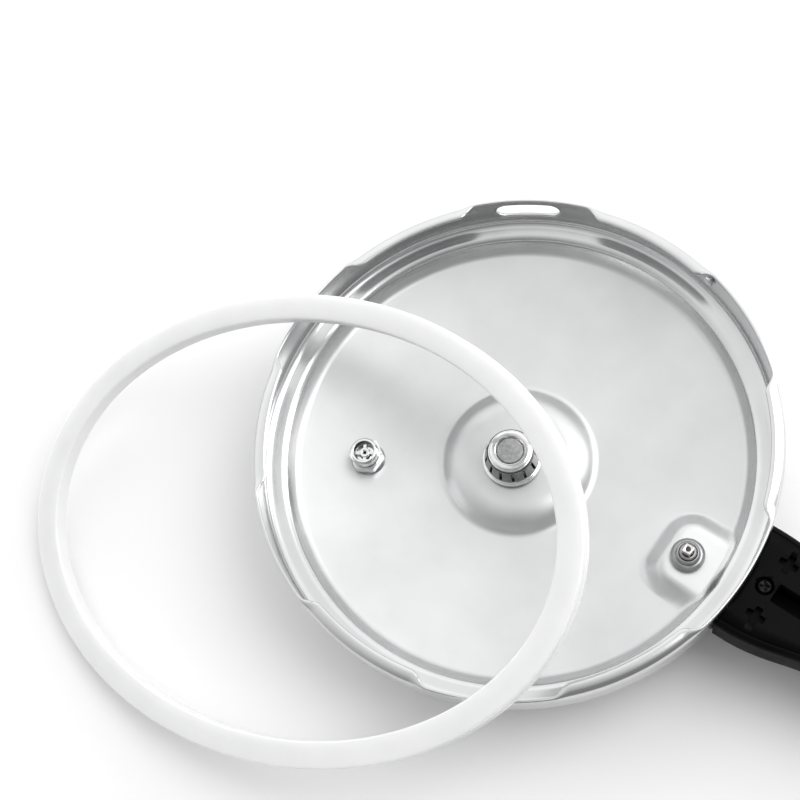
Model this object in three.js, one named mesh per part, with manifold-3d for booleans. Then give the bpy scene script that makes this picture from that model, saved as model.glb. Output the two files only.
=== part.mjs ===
// Lid assembly of a stovetop pressure cooker with its sealing ring, lying upside down on a table.
// Millimetres. +Z is up and points out of the lid's underside, +X runs along the handle.
// The origin is on the lid's axis, on the flat end of the regulator's cap, which stands on z = 0.

import * as THREE from 'three';
import { mergeVertices } from 'three/addons/utils/BufferGeometryUtils.js';
import Module from 'manifold-3d';

const wasm = await Module();
wasm.setup();

// ---------- driving dimensions ----------
const gap = 0.3;                 // air left between pieces that touch
const sheet = 1.5;               // thickness of the pressed steel
const rimZ = 54;                 // height of the lid's rim above the table
const skirtR = 122;              // outer radius of the skirt
const lugInnerR = 115.5;         // inner edge of the six lugs
const lugCount = 6;
const gapHalfAngle = 15;         // half of the open stretch between two lugs, degrees
const gapBlend = 3;              // how quickly a lug runs out, degrees
const plateauR = 30;             // raised centre of the lid
const plateauZ = rimZ - 31.5;
const domeZ = rimZ - 39.5;       // lowest inner surface, round the plateau
const domeRise = 12;             // how much the dome climbs out to the step
const stepR = 107;
const channelZ = rimZ - 20;      // floor of the channel that holds the sealing ring
const bossTopZ = rimZ - 24;      // flat pad under the pressure indicator
const bossFromX = 78.5;
const bossY = 1.8;
const bossHalfY = 18.8;
const bossBlend = 4.5;
const ventHoleR = 5.2;
const ventX = -0.8;              // the vent sits a little off the lid's axis
const ventY = -2.4;
const pilotR = 0.5;              // start of the sheet's section, inside the vent's hole
const indicatorX = 93.4;
const indicatorY = 1.2;
const safetyX = -60.8;
const safetyY = -40;
const handleEndX = 300;
const handleY = 4.3;             // the handle sits a little to one side
const seamZ = 26;                // where the two halves of the handle meet
const handleFaceZ = rimZ - 8;
const coverFaceZ = 8;            // outer face of the handle cover near the lid
const lockTravel = 6;
const lidSteps = 60;
const smallSteps = 24;

const steel = { color: 0xc9cbcc, roughness: 0.32, metalness: 1 };
const brightSteel = { color: 0xd8dadb, roughness: 0.15, metalness: 1 };
const greySteel = { color: 0x8d8f91, roughness: 0.4, metalness: 1 };
const phenolic = { color: 0x161617, roughness: 0.5, metalness: 0 };
const silicone = { color: 0xf1f2f2, roughness: 0.45, metalness: 0 };
const rubber = { color: 0x2a2a2b, roughness: 0.7, metalness: 0 };

const degrees = THREE.MathUtils.degToRad;
const at = (x, y) => new THREE.Vector2(x, y);

// ---------- shape helpers ----------

// A closed mesh with shared corners, without collapsed triangles, its faces pointing out.
function toSolid(geometry) {
  const plain = geometry.clone();
  plain.deleteAttribute('normal');
  plain.deleteAttribute('uv');
  const merged = mergeVertices(plain, 1e-4);
  const place = merged.attributes.position;
  const corners = [];
  let volume = 0;
  for (let i = 0; i < merged.index.count; i += 3) {
    const [a, b, c] = [0, 1, 2].map((k) => merged.index.getX(i + k));
    if (a === b || b === c || a === c) continue;
    const [p, q, r] = [a, b, c].map((k) => new THREE.Vector3().fromBufferAttribute(place, k));
    volume += p.dot(q.cross(r));
    corners.push([a, b, c]);
  }
  const facing = volume < 0 ? corners.map(([a, b, c]) => [a, c, b]) : corners;
  const data = new wasm.Mesh({
    numProp: 3,
    vertProperties: new Float32Array(place.array),
    triVerts: new Uint32Array(facing.flat()),
  });
  data.merge();
  return new wasm.Manifold(data);
}

function toGeometry(solid) {
  const data = solid.getMesh();
  const geometry = new THREE.BufferGeometry();
  geometry.setAttribute('position', new THREE.BufferAttribute(data.vertProperties, 3));
  geometry.setIndex(new THREE.BufferAttribute(data.triVerts, 1));
  geometry.computeVertexNormals();
  return geometry;
}

function cut(body, ...tools) {
  return tools.reduce((left, tool) => left.subtract(tool), body);
}

function join(...bodies) {
  return bodies.reduce((sum, body) => sum.add(body));
}

// A solid of revolution about +Z from [radius, height] pairs.
function turned(profile, steps = smallSteps) {
  const points = profile.map(([r, z]) => at(r, z));
  const geometry = new THREE.LatheGeometry(points, steps);
  return toSolid(geometry.rotateX(Math.PI / 2));
}

function tube(innerR, outerR, low, high, steps = smallSteps) {
  return turned([[innerR, low], [outerR, low], [outerR, high], [innerR, high], [innerR, low]], steps);
}

function rod(radius, low, high, steps = smallSteps) {
  return turned([[0, low], [radius, low], [radius, high], [0, high]], steps);
}

function hexagon(acrossFlats, low, high) {
  return rod(acrossFlats / 2 / Math.cos(Math.PI / 6), low, high, 6);
}

function block(x0, x1, y0, y1, z0, z1) {
  const geometry = new THREE.BoxGeometry(x1 - x0, y1 - y0, z1 - z0);
  return toSolid(geometry.translate((x0 + x1) / 2, (y0 + y1) / 2, (z0 + z1) / 2));
}

// An outline in X and Y, pushed up from low to high.
function prism(shape, low, high, curveSegments = 12) {
  const options = { depth: high - low, bevelEnabled: false, curveSegments };
  const geometry = new THREE.ExtrudeGeometry(shape, options);
  return toSolid(geometry.translate(0, 0, low));
}

// An outline in X and Z, as wide as the handle needs.
function sidePrism(shape, halfWidth) {
  const options = { depth: 2 * halfWidth, bevelEnabled: false, curveSegments: 8 };
  const geometry = new THREE.ExtrudeGeometry(shape, options);
  return toSolid(geometry.translate(0, 0, -halfWidth).rotateX(Math.PI / 2));
}

// A coil spring along +Z as a closed wire.
function coil(radius, wireR, low, high, turns) {
  class Helix extends THREE.Curve {
    getPoint(t, target = new THREE.Vector3()) {
      const angle = 2 * Math.PI * turns * t;
      const rise = low + wireR + (high - low - 2 * wireR) * t;
      return target.set(radius * Math.cos(angle), radius * Math.sin(angle), rise);
    }
  }
  const section = new THREE.Shape().absarc(0, 0, wireR, 0, 2 * Math.PI);
  const options = { steps: turns * 11, extrudePath: new Helix(), curveSegments: 3, bevelEnabled: false };
  return toSolid(new THREE.ExtrudeGeometry(section, options));
}

// A grid of points that closes on itself in both directions.
function closedGrid(rows) {
  const high = rows.length;
  const wide = rows[0].length;
  const index = [];
  for (let j = 0; j < high; j += 1) {
    for (let i = 0; i < wide; i += 1) {
      const a = j * wide + i;
      const b = j * wide + ((i + 1) % wide);
      const c = ((j + 1) % high) * wide + i;
      const d = ((j + 1) % high) * wide + ((i + 1) % wide);
      index.push(a, b, d, a, d, c);
    }
  }
  const geometry = new THREE.BufferGeometry();
  geometry.setAttribute('position', new THREE.Float32BufferAttribute(rows.flat(2), 3));
  geometry.setIndex(index);
  return toSolid(geometry);
}

// ---------- the lid's pressed sheet ----------

const domeAt = (r) => domeZ + domeRise * (r / stepR) ** 2;

// The inner surface from the centre out to the top of the skirt, as [radius, height].
const innerSkirtR = skirtR - sheet;
const innerProfile = [
  [pilotR, plateauZ],
  [plateauR - 2, plateauZ],
  [plateauR + 2, plateauZ - 2],
  [plateauR + 5, domeZ + 2],
  [plateauR + 8, domeAt(38)],
  ...[55, 72, 81, 94, 103].map((r) => [r, domeAt(r)]),
  [stepR, domeAt(stepR)],
  [stepR + 3, channelZ - 2],
  [stepR + 5.5, channelZ],
  [innerSkirtR - 3, channelZ],
  [innerSkirtR - 0.7, channelZ + 1.2],
  [innerSkirtR, channelZ + 4],
  [innerSkirtR, rimZ - 4],
];

// The same line moved outwards by the sheet, along the mean of its neighbours' normals.
function offsetProfile(profile, distance) {
  return profile.map(([r, z], i) => {
    const [r0, z0] = profile[Math.max(i - 1, 0)];
    const [r1, z1] = profile[Math.min(i + 1, profile.length - 1)];
    const along = at(r1 - r0, z1 - z0).normalize();
    if (i === 0) return [r, z - distance];
    if (i === profile.length - 1) return [r + distance, z];
    return [r + along.y * distance, z - along.x * distance];
  });
}

// 1 on the raised pad beside the handle, 0 away from it.
function bossWeight(x, y) {
  const ahead = THREE.MathUtils.smoothstep(x, bossFromX - bossBlend / 2, bossFromX + bossBlend / 2);
  const aside = Math.abs(y - bossY);
  const beside = 1 - THREE.MathUtils.smoothstep(aside, bossHalfY - bossBlend / 2, bossHalfY + bossBlend / 2);
  return ahead * beside;
}

// 1 in the middle of an open stretch of the rim, 0 on a lug.
function openWeight(angle) {
  const pitch = 360 / lugCount;
  const turn = (angle * 180) / Math.PI;
  const away = Math.abs(turn - Math.round(turn / pitch) * pitch);
  return 1 - THREE.MathUtils.smoothstep(away, gapHalfAngle - gapBlend / 2, gapHalfAngle + gapBlend / 2);
}

function lidSheet() {
  const outer = offsetProfile(innerProfile, sheet);
  const rows = [];
  for (let j = 0; j < lidSteps; j += 1) {
    const angle = (2 * Math.PI * j) / lidSteps;
    const place = ([r, z], drop) => {
      const x = r * Math.cos(angle);
      const y = r * Math.sin(angle);
      const target = Math.max(bossTopZ - drop, z);
      const lift = r < stepR + 4 ? (target - z) * bossWeight(x, y) : 0;
      return [x, y, z + lift];
    };
    const open = openWeight(angle);
    const mix = (lug, wall) => THREE.MathUtils.lerp(lug, wall, open);
    const rim = [
      [mix(innerSkirtR - 1, innerSkirtR), rimZ - mix(2.6, 1.6)],
      [mix(innerSkirtR - 2.6, innerSkirtR - 0.02), rimZ - mix(sheet, 0.8)],
      [mix(lugInnerR, innerSkirtR - 0.04), rimZ - mix(sheet, 0.4)],
      [mix(lugInnerR, innerSkirtR), rimZ],
      [mix(skirtR - 3.6, skirtR - 0.4), rimZ],
      [mix(skirtR - 1, skirtR), rimZ - mix(1, 0.4)],
    ];
    rows.push([
      ...innerProfile.map((p) => place(p, 0)),
      ...rim.map((p) => place(p, 0)),
      ...outer.reverse().map((p) => place(p, sheet)),
    ]);
    outer.reverse();
  }
  return closedGrid(rows);
}

// The long window in the skirt that lets the sealing ring bulge out if the vent is blocked.
function reliefWindow() {
  const slot = new THREE.Shape();
  const half = 10.5;
  const radius = 5.2;
  slot.absarc(half, 0, radius, -Math.PI / 2, Math.PI / 2);
  slot.absarc(-half, 0, radius, Math.PI / 2, (3 * Math.PI) / 2);
  const geometry = new THREE.ExtrudeGeometry(slot, { depth: 16, bevelEnabled: false, curveSegments: 5 });
  geometry.rotateX(Math.PI / 2).translate(0, skirtR + 4, rimZ - 8.6);
  return toSolid(geometry.rotateZ(degrees(121 - 90)));
}

const atVent = [ventX, ventY, 0];
const rivetAngle = 74;
const rivetZ = rimZ - 6;

function lidShell() {
  const rivetHole = rod(1.9, skirtR - 8, skirtR + 8, 12).rotate([0, 90, 0]).rotate([0, 0, rivetAngle]);
  return cut(
    lidSheet(),
    rod(ventHoleR, 0, rimZ).translate(atVent),
    rod(5.4, 0, rimZ).translate([safetyX, safetyY, 0]),
    rod(4.4, 0, rimZ).translate([indicatorX, indicatorY, 0]),
    reliefWindow(),
    rivetHole.translate([0, 0, rivetZ]),
  );
}

// A rivet through the skirt that stops the lid as it turns shut.
function stopRivet() {
  const profile = [
    [0, innerSkirtR - 2], [2.2, innerSkirtR - 1.8], [3, innerSkirtR - 0.7], [1.5, innerSkirtR - 0.7],
    [1.5, skirtR + gap], [2.6, skirtR + gap], [2, skirtR + 1.4], [0, skirtR + 1.5],
  ];
  return turned(profile, 12).rotate([0, 90, 0]).rotate([0, 0, rivetAngle]).translate([0, 0, rivetZ]);
}

// ---------- vent and regulator at the lid's centre ----------

const ventFlangeTop = plateauZ - sheet - gap;
const capHeight = 9;
const weightTop = ventFlangeTop - 2.2;

function ventPipe() {
  return turned([
    [1.3, 11.5], [2.8, 11.5], [3.6, 13], [3.6, ventFlangeTop - 1.8], [8, ventFlangeTop - 1.8],
    [8, ventFlangeTop], [4.9, ventFlangeTop], [4.9, plateauZ + 8.5], [1.3, plateauZ + 8.5], [1.3, 11.5],
  ]).translate(atVent);
}

function ventWasher() {
  return tube(5.3, 9.5, plateauZ + gap, plateauZ + 1.2).translate(atVent);
}

const ventNutZ = plateauZ + 1.5;

function ventNut() {
  const nut = cut(hexagon(15, ventNutZ, ventNutZ + 4), rod(5.2, 0, rimZ));
  return join(tube(5.2, 14.2, ventNutZ, ventNutZ + 1.6), nut).translate(atVent);
}

const cageZ = ventNutZ + 1.6 + gap;
const cageTopZ = rimZ - 17.4;
const cageSlots = 13;
const cageTurn = 4;               // where the first slot is, degrees

function antiClogCage() {
  const cage = turned([
    [12.2, cageZ], [13.6, cageZ], [13.6, cageZ + 0.9], [12.9, cageZ + 1.3], [10.9, cageTopZ - 2.2],
    [10.2, cageTopZ - 0.8], [9.4, cageTopZ], [6.5, cageTopZ], [6.5, cageTopZ - 1.6], [9.2, cageTopZ - 2],
    [11.6, cageZ + 1.3], [12.2, cageZ],
  ], 39);
  const slots = [];
  for (let k = 0; k < cageSlots; k += 1) {
    const slot = block(8, 15, -0.7, 0.7, cageZ + 1.8, cageTopZ - 3);
    slots.push(slot.rotate([0, 0, cageTurn + (360 * k) / cageSlots]));
  }
  return cut(cage, ...slots).translate(atVent);
}

function strainerDisc() {
  return turned([
    [0, cageTopZ - 3.4], [4, cageTopZ - 3.4], [6.2, cageTopZ - 1.5], [6.2, cageTopZ - 0.6], [0, cageTopZ - 0.4],
  ]).translate(atVent);
}

function regulatorCap() {
  return turned([
    [0, 0], [14.6, 0], [16, 1.4], [16, 7.6], [15, capHeight], [12.8, capHeight], [12.8, 4.7], [0, 4.7],
  ], 32).translate(atVent);
}

function regulatorWeight() {
  return turned([
    [0, 5], [12.4, 5], [12.4, weightTop - 1.5], [10.8, weightTop], [4.6, weightTop], [4.6, 8], [0, 8],
  ], 32).translate(atVent);
}

function regulatorNeedle() {
  const needle = turned([[0, 8.3], [2.7, 8.3], [2.7, 9.6], [1.3, 10.2], [0.3, 12.6], [0, 12.7]], 16);
  return needle.translate(atVent);
}

// ---------- safety valve ----------

const safetyR = Math.hypot(safetyX, safetyY);
const slopeLift = 1.5;           // the dome's slope across the nut
const safetyNutZ = domeAt(safetyR) + slopeLift + gap;
const safetyFlangeZ = domeAt(safetyR) - sheet - slopeLift - gap;
const safetyFloorZ = 4;
const atSafety = [safetyX, safetyY, 0];

function safetyBody() {
  return turned([
    [4.7, safetyFloorZ + 0.5], [6.4, safetyFloorZ + 0.5], [6.4, safetyFlangeZ - 2.2], [9, safetyFlangeZ - 2.2],
    [9, safetyFlangeZ], [4.9, safetyFlangeZ], [4.9, safetyNutZ + 5.6], [2.6, safetyNutZ + 5.6],
    [2.6, safetyFlangeZ - 1.4], [4.7, safetyFlangeZ - 1.4], [4.7, safetyFloorZ + 0.5],
  ]).translate(atSafety);
}

function safetyNut() {
  return cut(hexagon(15, safetyNutZ, safetyNutZ + 5.2), rod(5.2, 0, rimZ)).translate(atSafety);
}

// The inlet on the inside, a collar with a sunken end and a cross of four small bars.
function safetyInlet() {
  const low = safetyNutZ + 5.9;
  const ring = turned([
    [4.4, low], [6.9, low], [6.9, low + 3.4], [5.9, low + 4.5], [4.9, low + 4.5], [4.4, low + 2], [4.4, low],
  ]);
  const bars = [0, 90].map((angle) => block(-4.6, 4.6, -0.7, 0.7, low, low + 1.8).rotate([0, 0, angle]));
  return join(ring, ...bars, tube(1.2, 2.4, low, low + 2.3, 12)).translate(atSafety);
}

const plungerLow = safetyFlangeZ - 4;

function safetyPlunger() {
  return turned([
    [0, plungerLow], [4.3, plungerLow], [4.3, plungerLow + 2], [2.1, plungerLow + 2.2],
    [2.1, safetyNutZ + 4.5], [0, safetyNutZ + 4.5],
  ], 16).translate(atSafety);
}

function safetySpring() {
  return coil(3.3, 0.45, safetyFloorZ - 0.1, plungerLow - gap, 4).translate(atSafety);
}

function safetyCap() {
  return turned([
    [1.5, 2.2], [7, 2.2], [8, 3.2], [8, 9], [6.7, 9], [6.7, safetyFloorZ - 0.4], [1.5, safetyFloorZ - 0.4], [1.5, 2.2],
  ]).translate(atSafety);
}

// ---------- pressure indicator on the raised pad ----------

const padUnderZ = bossTopZ - sheet;
const bushTopZ = bossTopZ + 8;
const atIndicator = [indicatorX, indicatorY, 0];

function indicatorSeal() {
  return tube(4.4, 7.5, padUnderZ - gap - 1, padUnderZ - gap, 20).translate(atIndicator);
}

function indicatorBush() {
  const low = padUnderZ - 4.2;
  return turned([
    [2.6, low], [8, low], [8, low + 2.5], [3.9, low + 2.5], [3.9, bushTopZ], [2.6, bushTopZ], [2.6, low],
  ], 20).translate(atIndicator);
}

function indicatorNut() {
  const low = bossTopZ + gap;
  return turned([
    [4.2, low], [7.7, low], [7.7, low + 2.4], [6.3, low + 3.6], [5.4, low + 3.8], [5.4, low + 5.8],
    [4.8, low + 6.4], [4.2, low + 6.4], [4.2, low],
  ]).translate(atIndicator);
}

function indicatorPin() {
  const stem = turned([
    [0, 15.5], [4.6, 15.5], [4.6, 17.5], [2.2, 17.5], [2.2, bushTopZ + 1], [0, bushTopZ + 1],
  ], 16);
  const tip = block(-2.5, 2.5, -2.5, 2.5, bushTopZ + gap, bushTopZ + 4);
  return join(stem, tip).translate(atIndicator);
}

// ---------- handle ----------

// The handle's pieces are drawn about y = 0 and moved to their place at the end.
const inHandleFrame = (solid) => solid.translate([0, -handleY, 0]);
const toHandle = (solid) => solid.translate([0, handleY, 0]);

// The plan outline, from the lid outwards. The cover is tucked in under the base.
function handlePlan(startX, startHalf, tuck) {
  const side = [
    at(startX, startHalf), at(126, 26), at(142, 24), at(165, 18.5), at(200, 15.5), at(245, 17), at(284, 16.5),
    at(297, 11), at(handleEndX, 0),
  ].map((p, i, all) => at(p.x, i < all.length - 1 ? p.y - tuck : 0));
  const shape = new THREE.Shape();
  shape.moveTo(side[0].x, side[0].y);
  shape.splineThru(side.slice(1));
  shape.splineThru(side.slice(0, -1).reverse().map((p) => at(p.x, -p.y)));
  shape.closePath();
  return prism(shape, -1, rimZ, 3);
}

// The lid's outside with a little air, and everything above it.
function lidKeepOut() {
  const line = offsetProfile(innerProfile, sheet + 0.5);
  return turned([[0, line[0][1]], ...line, [skirtR + 0.5, rimZ + 5], [0, rimZ + 5]], lidSteps);
}

const screwXs = [129.5, 238];
const slotX = [134.5, 216];      // groove in the base, open towards the pot's handle
const grooveHalf = 4.6;
const barZ = [32, 35];
const barX = [158, 196];
const postX = [172, 180];
const bracketHalf = 9;

function handleBase() {
  const shape = new THREE.Shape();
  shape.moveTo(110, seamZ + gap / 2);
  shape.lineTo(262, seamZ + gap / 2);
  shape.lineTo(handleEndX + 2, 19);
  shape.lineTo(handleEndX + 2, 27);
  shape.splineThru([at(262, 36), at(205, 43.2), at(150, handleFaceZ)]);
  shape.lineTo(110, handleFaceZ);
  shape.closePath();
  const crosses = [-13.5, 13.5].flatMap((y) => [
    block(128.5, 137.5, y - 1.5, y + 1.5, handleFaceZ - 3, rimZ),
    block(131.5, 134.5, y - 4.5, y + 4.5, handleFaceZ - 3, rimZ),
  ]);
  const screwSeats = screwXs.flatMap((x) => [
    rod(2.1, 0, rimZ, 16).translate([x, 0, 0]),
    rod(4.2, handleScrewHeadZ(x), rimZ, 20).translate([x, 0, 0]),
  ]);
  return toHandle(cut(
    sidePrism(shape, 30).intersect(handlePlan(110, 26, 0)),
    inHandleFrame(rod(skirtR + 0.6, 0, rimZ + 1, lidSteps)),
    block(110, skirtR + 2.8, -bracketHalf - 0.5, bracketHalf + 0.5, 0, rimZ - 11.5),
    block(120, 170, -bracketHalf - 0.5, bracketHalf + 0.5, 0, seamZ + 2.1),
    block(slotX[0], slotX[1], -grooveHalf, grooveHalf, barZ[0] - 1.2, rimZ),
    block(postX[0] - 1, postX[1] + lockTravel + 1, -3.4, 3.4, 0, rimZ),
    ...crosses,
    ...screwSeats,
  ));
}

function handleScrewHeadZ(x) {
  return x < 200 ? handleFaceZ - 3.4 : handleFaceZ - 14;
}

function handleCover() {
  const shape = new THREE.Shape();
  shape.moveTo(79, coverFaceZ + 2);
  shape.lineTo(82, coverFaceZ);
  shape.lineTo(205, coverFaceZ);
  shape.splineThru([at(235, 4), at(266, 0)]);
  shape.lineTo(292, 0);
  shape.lineTo(handleEndX + 1, 5);
  shape.lineTo(handleEndX + 1, 19 - gap);
  shape.lineTo(262, seamZ - gap / 2);
  shape.lineTo(79, seamZ - gap / 2);
  shape.closePath();
  const screwHoles = screwXs.map((x) => rod(2.1, 12, rimZ, 16).translate([x, 0, 0]));
  return toHandle(cut(
    sidePrism(shape, 30).intersect(handlePlan(78, 25, 4)),
    inHandleFrame(lidKeepOut()),
    inHandleFrame(rod(9.6, 12.5, rimZ, 20).translate(atIndicator)),
    block(postX[0] - 1, postX[1] + lockTravel + 1, -3.4, 3.4, -1, rimZ),
    ...screwHoles,
  ));
}

// A steel angle welded to the skirt, which the handle is screwed to.
function handleBracket() {
  const leg = tube(skirtR + gap, skirtR + 1.9, seamZ + 0.2, rimZ - 12, lidSteps);
  const band = block(118, 126, -bracketHalf, bracketHalf, 0, rimZ);
  const plate = cut(
    block(118, 169, -bracketHalf, bracketHalf, seamZ + 0.2, seamZ + 1.8),
    inHandleFrame(rod(skirtR + gap, 0, rimZ, lidSteps)),
    rod(2.1, 0, rimZ, 16).translate([screwXs[0], 0, 0]),
  );
  return toHandle(join(inHandleFrame(leg).intersect(band), plate));
}

function handleScrew(x) {
  const head = handleScrewHeadZ(x) + gap;
  const screw = turned([
    [0, 12.5], [1.2, 12.5], [1.8, 14], [1.8, head], [3.6, head], [3.6, head + 1.6], [2.6, head + 2.6],
    [0, head + 2.7],
  ], 16);
  const slots = [0, 90].map((angle) => block(-2.4, 2.4, -0.45, 0.45, head + 1.4, head + 4).rotate([0, 0, angle]));
  return toHandle(cut(screw, ...slots).translate([x, 0, 0]));
}

// ---------- lock ----------

function lockBar() {
  const strip = block(barX[0], barX[1], -3.6, 3.6, barZ[0], barZ[1]);
  const tooth = block(barX[0], barX[0] + 5, -3.6, 3.6, barZ[1] - 0.5, handleFaceZ - 2);
  return toHandle(cut(join(strip, tooth), block(166, 170, -1.2, 1.2, 0, rimZ)));
}

function lockButton() {
  const outline = new THREE.Shape();
  outline.absarc(184, 0, 7.5, -Math.PI / 2, Math.PI / 2);
  outline.absarc(168, 0, 7.5, Math.PI / 2, (3 * Math.PI) / 2);
  const pad = prism(outline, 3, coverFaceZ - 0.4, 6);
  const post = block(postX[0], postX[1], -2.9, 2.9, coverFaceZ - 1, barZ[0] - gap);
  const grips = [170, 176, 182].map((x) => block(x - 0.8, x + 0.8, -6, 6, 2, 3.8));
  return toHandle(cut(join(pad, post), ...grips));
}

// Drawn at its pressed length, at the far end of the groove.
function lockSpring() {
  const low = barX[1] + lockTravel + gap;
  const spring = coil(2.9, 0.5, 0, slotX[1] - gap - low, 5);
  return toHandle(spring.rotate([0, 90, 0]).translate([low, 0, barZ[1]]));
}

// ---------- sealing ring ----------

// A soft ring that has gone a little oval. It leans on the rim at two places and on the table.
const ringCentre = new THREE.Vector3(-64, -90.7, rimZ - 7.15);
const ringLeanAxis = degrees(-25.4);
const ringLean = degrees(19);
const ringLongHalf = 140.1;
const ringShortHalf = 102.3;
const ringTurn = degrees(47.5);
const ringSteps = 56;
const ringWide = 6.2;
const ringHigh = 4.4;

function sealingRing() {
  const section = [
    [-ringWide, -ringHigh + 1], [-ringWide + 1, -ringHigh], [ringWide - 1, -ringHigh], [ringWide, -ringHigh + 1],
    [ringWide, -1.2], [ringWide - 2, -0.6], [ringWide - 2, 0.6], [ringWide, 1.2],
    [ringWide, ringHigh - 1], [ringWide - 1, ringHigh], [-ringWide + 1, ringHigh], [-ringWide, ringHigh - 1],
  ];
  const lean = new THREE.Matrix4().makeRotationZ(ringLeanAxis);
  lean.multiply(new THREE.Matrix4().makeRotationX(ringLean));
  lean.multiply(new THREE.Matrix4().makeRotationZ(ringTurn));
  lean.setPosition(ringCentre);
  const rows = [];
  for (let j = 0; j < ringSteps; j += 1) {
    const t = (2 * Math.PI * j) / ringSteps;
    rows.push(section.map(([out, up]) => {
      const point = new THREE.Vector3((ringLongHalf + out) * Math.cos(t), (ringShortHalf + out) * Math.sin(t), up);
      return point.applyMatrix4(lean).toArray();
    }));
  }
  return closedGrid(rows);
}

// ---------- the assembly ----------

const cooker = new THREE.Group();

function add(name, solid, finish) {
  const mesh = new THREE.Mesh(toGeometry(solid), new THREE.MeshStandardMaterial(finish));
  mesh.name = name;
  cooker.add(mesh);
}

add('lid_shell', lidShell(), steel);
add('stop_rivet', stopRivet(), brightSteel);
add('vent_pipe', ventPipe(), brightSteel);
add('vent_washer', ventWasher(), rubber);
add('vent_nut', ventNut(), brightSteel);
add('anti_clog_cage', antiClogCage(), brightSteel);
add('strainer_disc', strainerDisc(), greySteel);
add('regulator_cap', regulatorCap(), phenolic);
add('regulator_weight', regulatorWeight(), brightSteel);
add('regulator_needle', regulatorNeedle(), brightSteel);
add('safety_valve_body', safetyBody(), brightSteel);
add('safety_valve_nut', safetyNut(), brightSteel);
add('safety_valve_inlet', safetyInlet(), brightSteel);
add('safety_valve_plunger', safetyPlunger(), rubber);
add('safety_valve_spring', safetySpring(), greySteel);
add('safety_valve_cap', safetyCap(), brightSteel);
add('indicator_seal', indicatorSeal(), rubber);
add('indicator_bush', indicatorBush(), greySteel);
add('indicator_nut', indicatorNut(), greySteel);
add('indicator_pin', indicatorPin(), brightSteel);
add('handle_base', handleBase(), phenolic);
add('handle_cover', handleCover(), phenolic);
add('handle_bracket', handleBracket(), steel);
add('handle_screw_front', handleScrew(screwXs[0]), greySteel);
add('handle_screw_rear', handleScrew(screwXs[1]), greySteel);
add('lock_bar', lockBar(), steel);
add('lock_button', lockButton(), phenolic);
add('lock_spring', lockSpring(), greySteel);
add('sealing_ring', sealingRing(), silicone);

export default cooker;
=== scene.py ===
"""Pressure cooker lid, underside up, with its sealing ring leaning on the rim: the looks round the frame.

Lengths are worked out in millimetres from the frame's own boxes and scaled to metres as each mesh is made.
"""
import math

import bmesh
import bpy
import numpy as np
from mathutils import Matrix, Vector

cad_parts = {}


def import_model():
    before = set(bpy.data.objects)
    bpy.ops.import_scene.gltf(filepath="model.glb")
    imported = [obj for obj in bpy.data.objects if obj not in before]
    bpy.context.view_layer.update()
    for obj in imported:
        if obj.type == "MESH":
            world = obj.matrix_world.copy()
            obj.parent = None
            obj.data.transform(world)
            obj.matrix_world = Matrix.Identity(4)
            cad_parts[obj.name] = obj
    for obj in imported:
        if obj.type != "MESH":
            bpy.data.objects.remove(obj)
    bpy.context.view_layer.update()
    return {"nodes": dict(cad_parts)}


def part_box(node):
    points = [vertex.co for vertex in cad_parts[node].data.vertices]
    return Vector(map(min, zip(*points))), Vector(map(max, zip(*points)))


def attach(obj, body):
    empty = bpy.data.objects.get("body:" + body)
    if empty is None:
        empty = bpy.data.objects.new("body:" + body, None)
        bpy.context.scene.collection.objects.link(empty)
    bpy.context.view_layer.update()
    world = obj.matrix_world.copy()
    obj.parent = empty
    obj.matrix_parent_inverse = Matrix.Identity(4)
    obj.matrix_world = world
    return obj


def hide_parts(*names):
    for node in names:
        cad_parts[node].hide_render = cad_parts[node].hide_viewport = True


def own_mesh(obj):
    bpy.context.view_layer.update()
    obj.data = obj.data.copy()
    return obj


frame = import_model()

MM = 0.001


def box_mm(node):
    """A node's lowest and highest corner, in millimetres."""
    low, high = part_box(node)
    return low / MM, high / MM


def foot_of(node):
    """The middle of a node's box, brought down to the table."""
    low, high = box_mm(node)
    middle = (low + high) / 2
    return Vector((middle.x, middle.y, 0))


# ---------- driving dimensions, in millimetres ----------
RIM_Z = box_mm("lid_shell")[1].z
SKIRT_R = box_mm("lid_shell")[1].x
SHEET = 1.5
INNER_R = SKIRT_R - SHEET

# The lugs bent in over the channel. The openings between them are in degrees.
LUG_R = 115.5
LUG_COUNT = 6
LUG_PITCH = 360 / LUG_COUNT
OPEN_HALF = 15.0
OPEN_BLEND = 2.6

# The pressed shape, from the plateau in the middle out to the channel for the ring.
PLATEAU_Z = RIM_Z - 31.5
PLATEAU_R = 29.5
FOOT_R = 37
DOME_Z = RIM_Z - 39.5
DOME_RISE = 12.0
STEP_R = 107.0
CHANNEL_Z = RIM_Z - 20.0

# The raised pad beside the handle.
BOSS_TOP = RIM_Z - 24.0
BOSS_FROM = 80.5
BOSS_Y = 1.8
BOSS_HALF = 17.8
BOSS_CORNER = 11.0
BOSS_SLOPE = 4.6

# The holes in the sheet, the rivet and the long window in the skirt.
PILOT_R = 0.5
VENT_HOLE_R = 5.2
SAFETY_HOLE_R = 5.3
INDICATOR_HOLE_R = 4.3
RIVET_ANGLE = math.radians(74)
RIVET_Z = RIM_Z - 6
WINDOW_ANGLE = math.radians(121)
WINDOW_HALF = 10.5
WINDOW_R = 5.2
WINDOW_Z = RIM_Z - 8.6

# The fittings that stand on the lid.
VENT = foot_of("anti_clog_cage")
SAFETY = foot_of("safety_valve_nut")
INDICATOR = foot_of("indicator_nut")
CAGE_SLOTS = 13
CAGE_TURN = math.radians(4)
CAP_R = 16
CAP_FLUTES = 24

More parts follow.
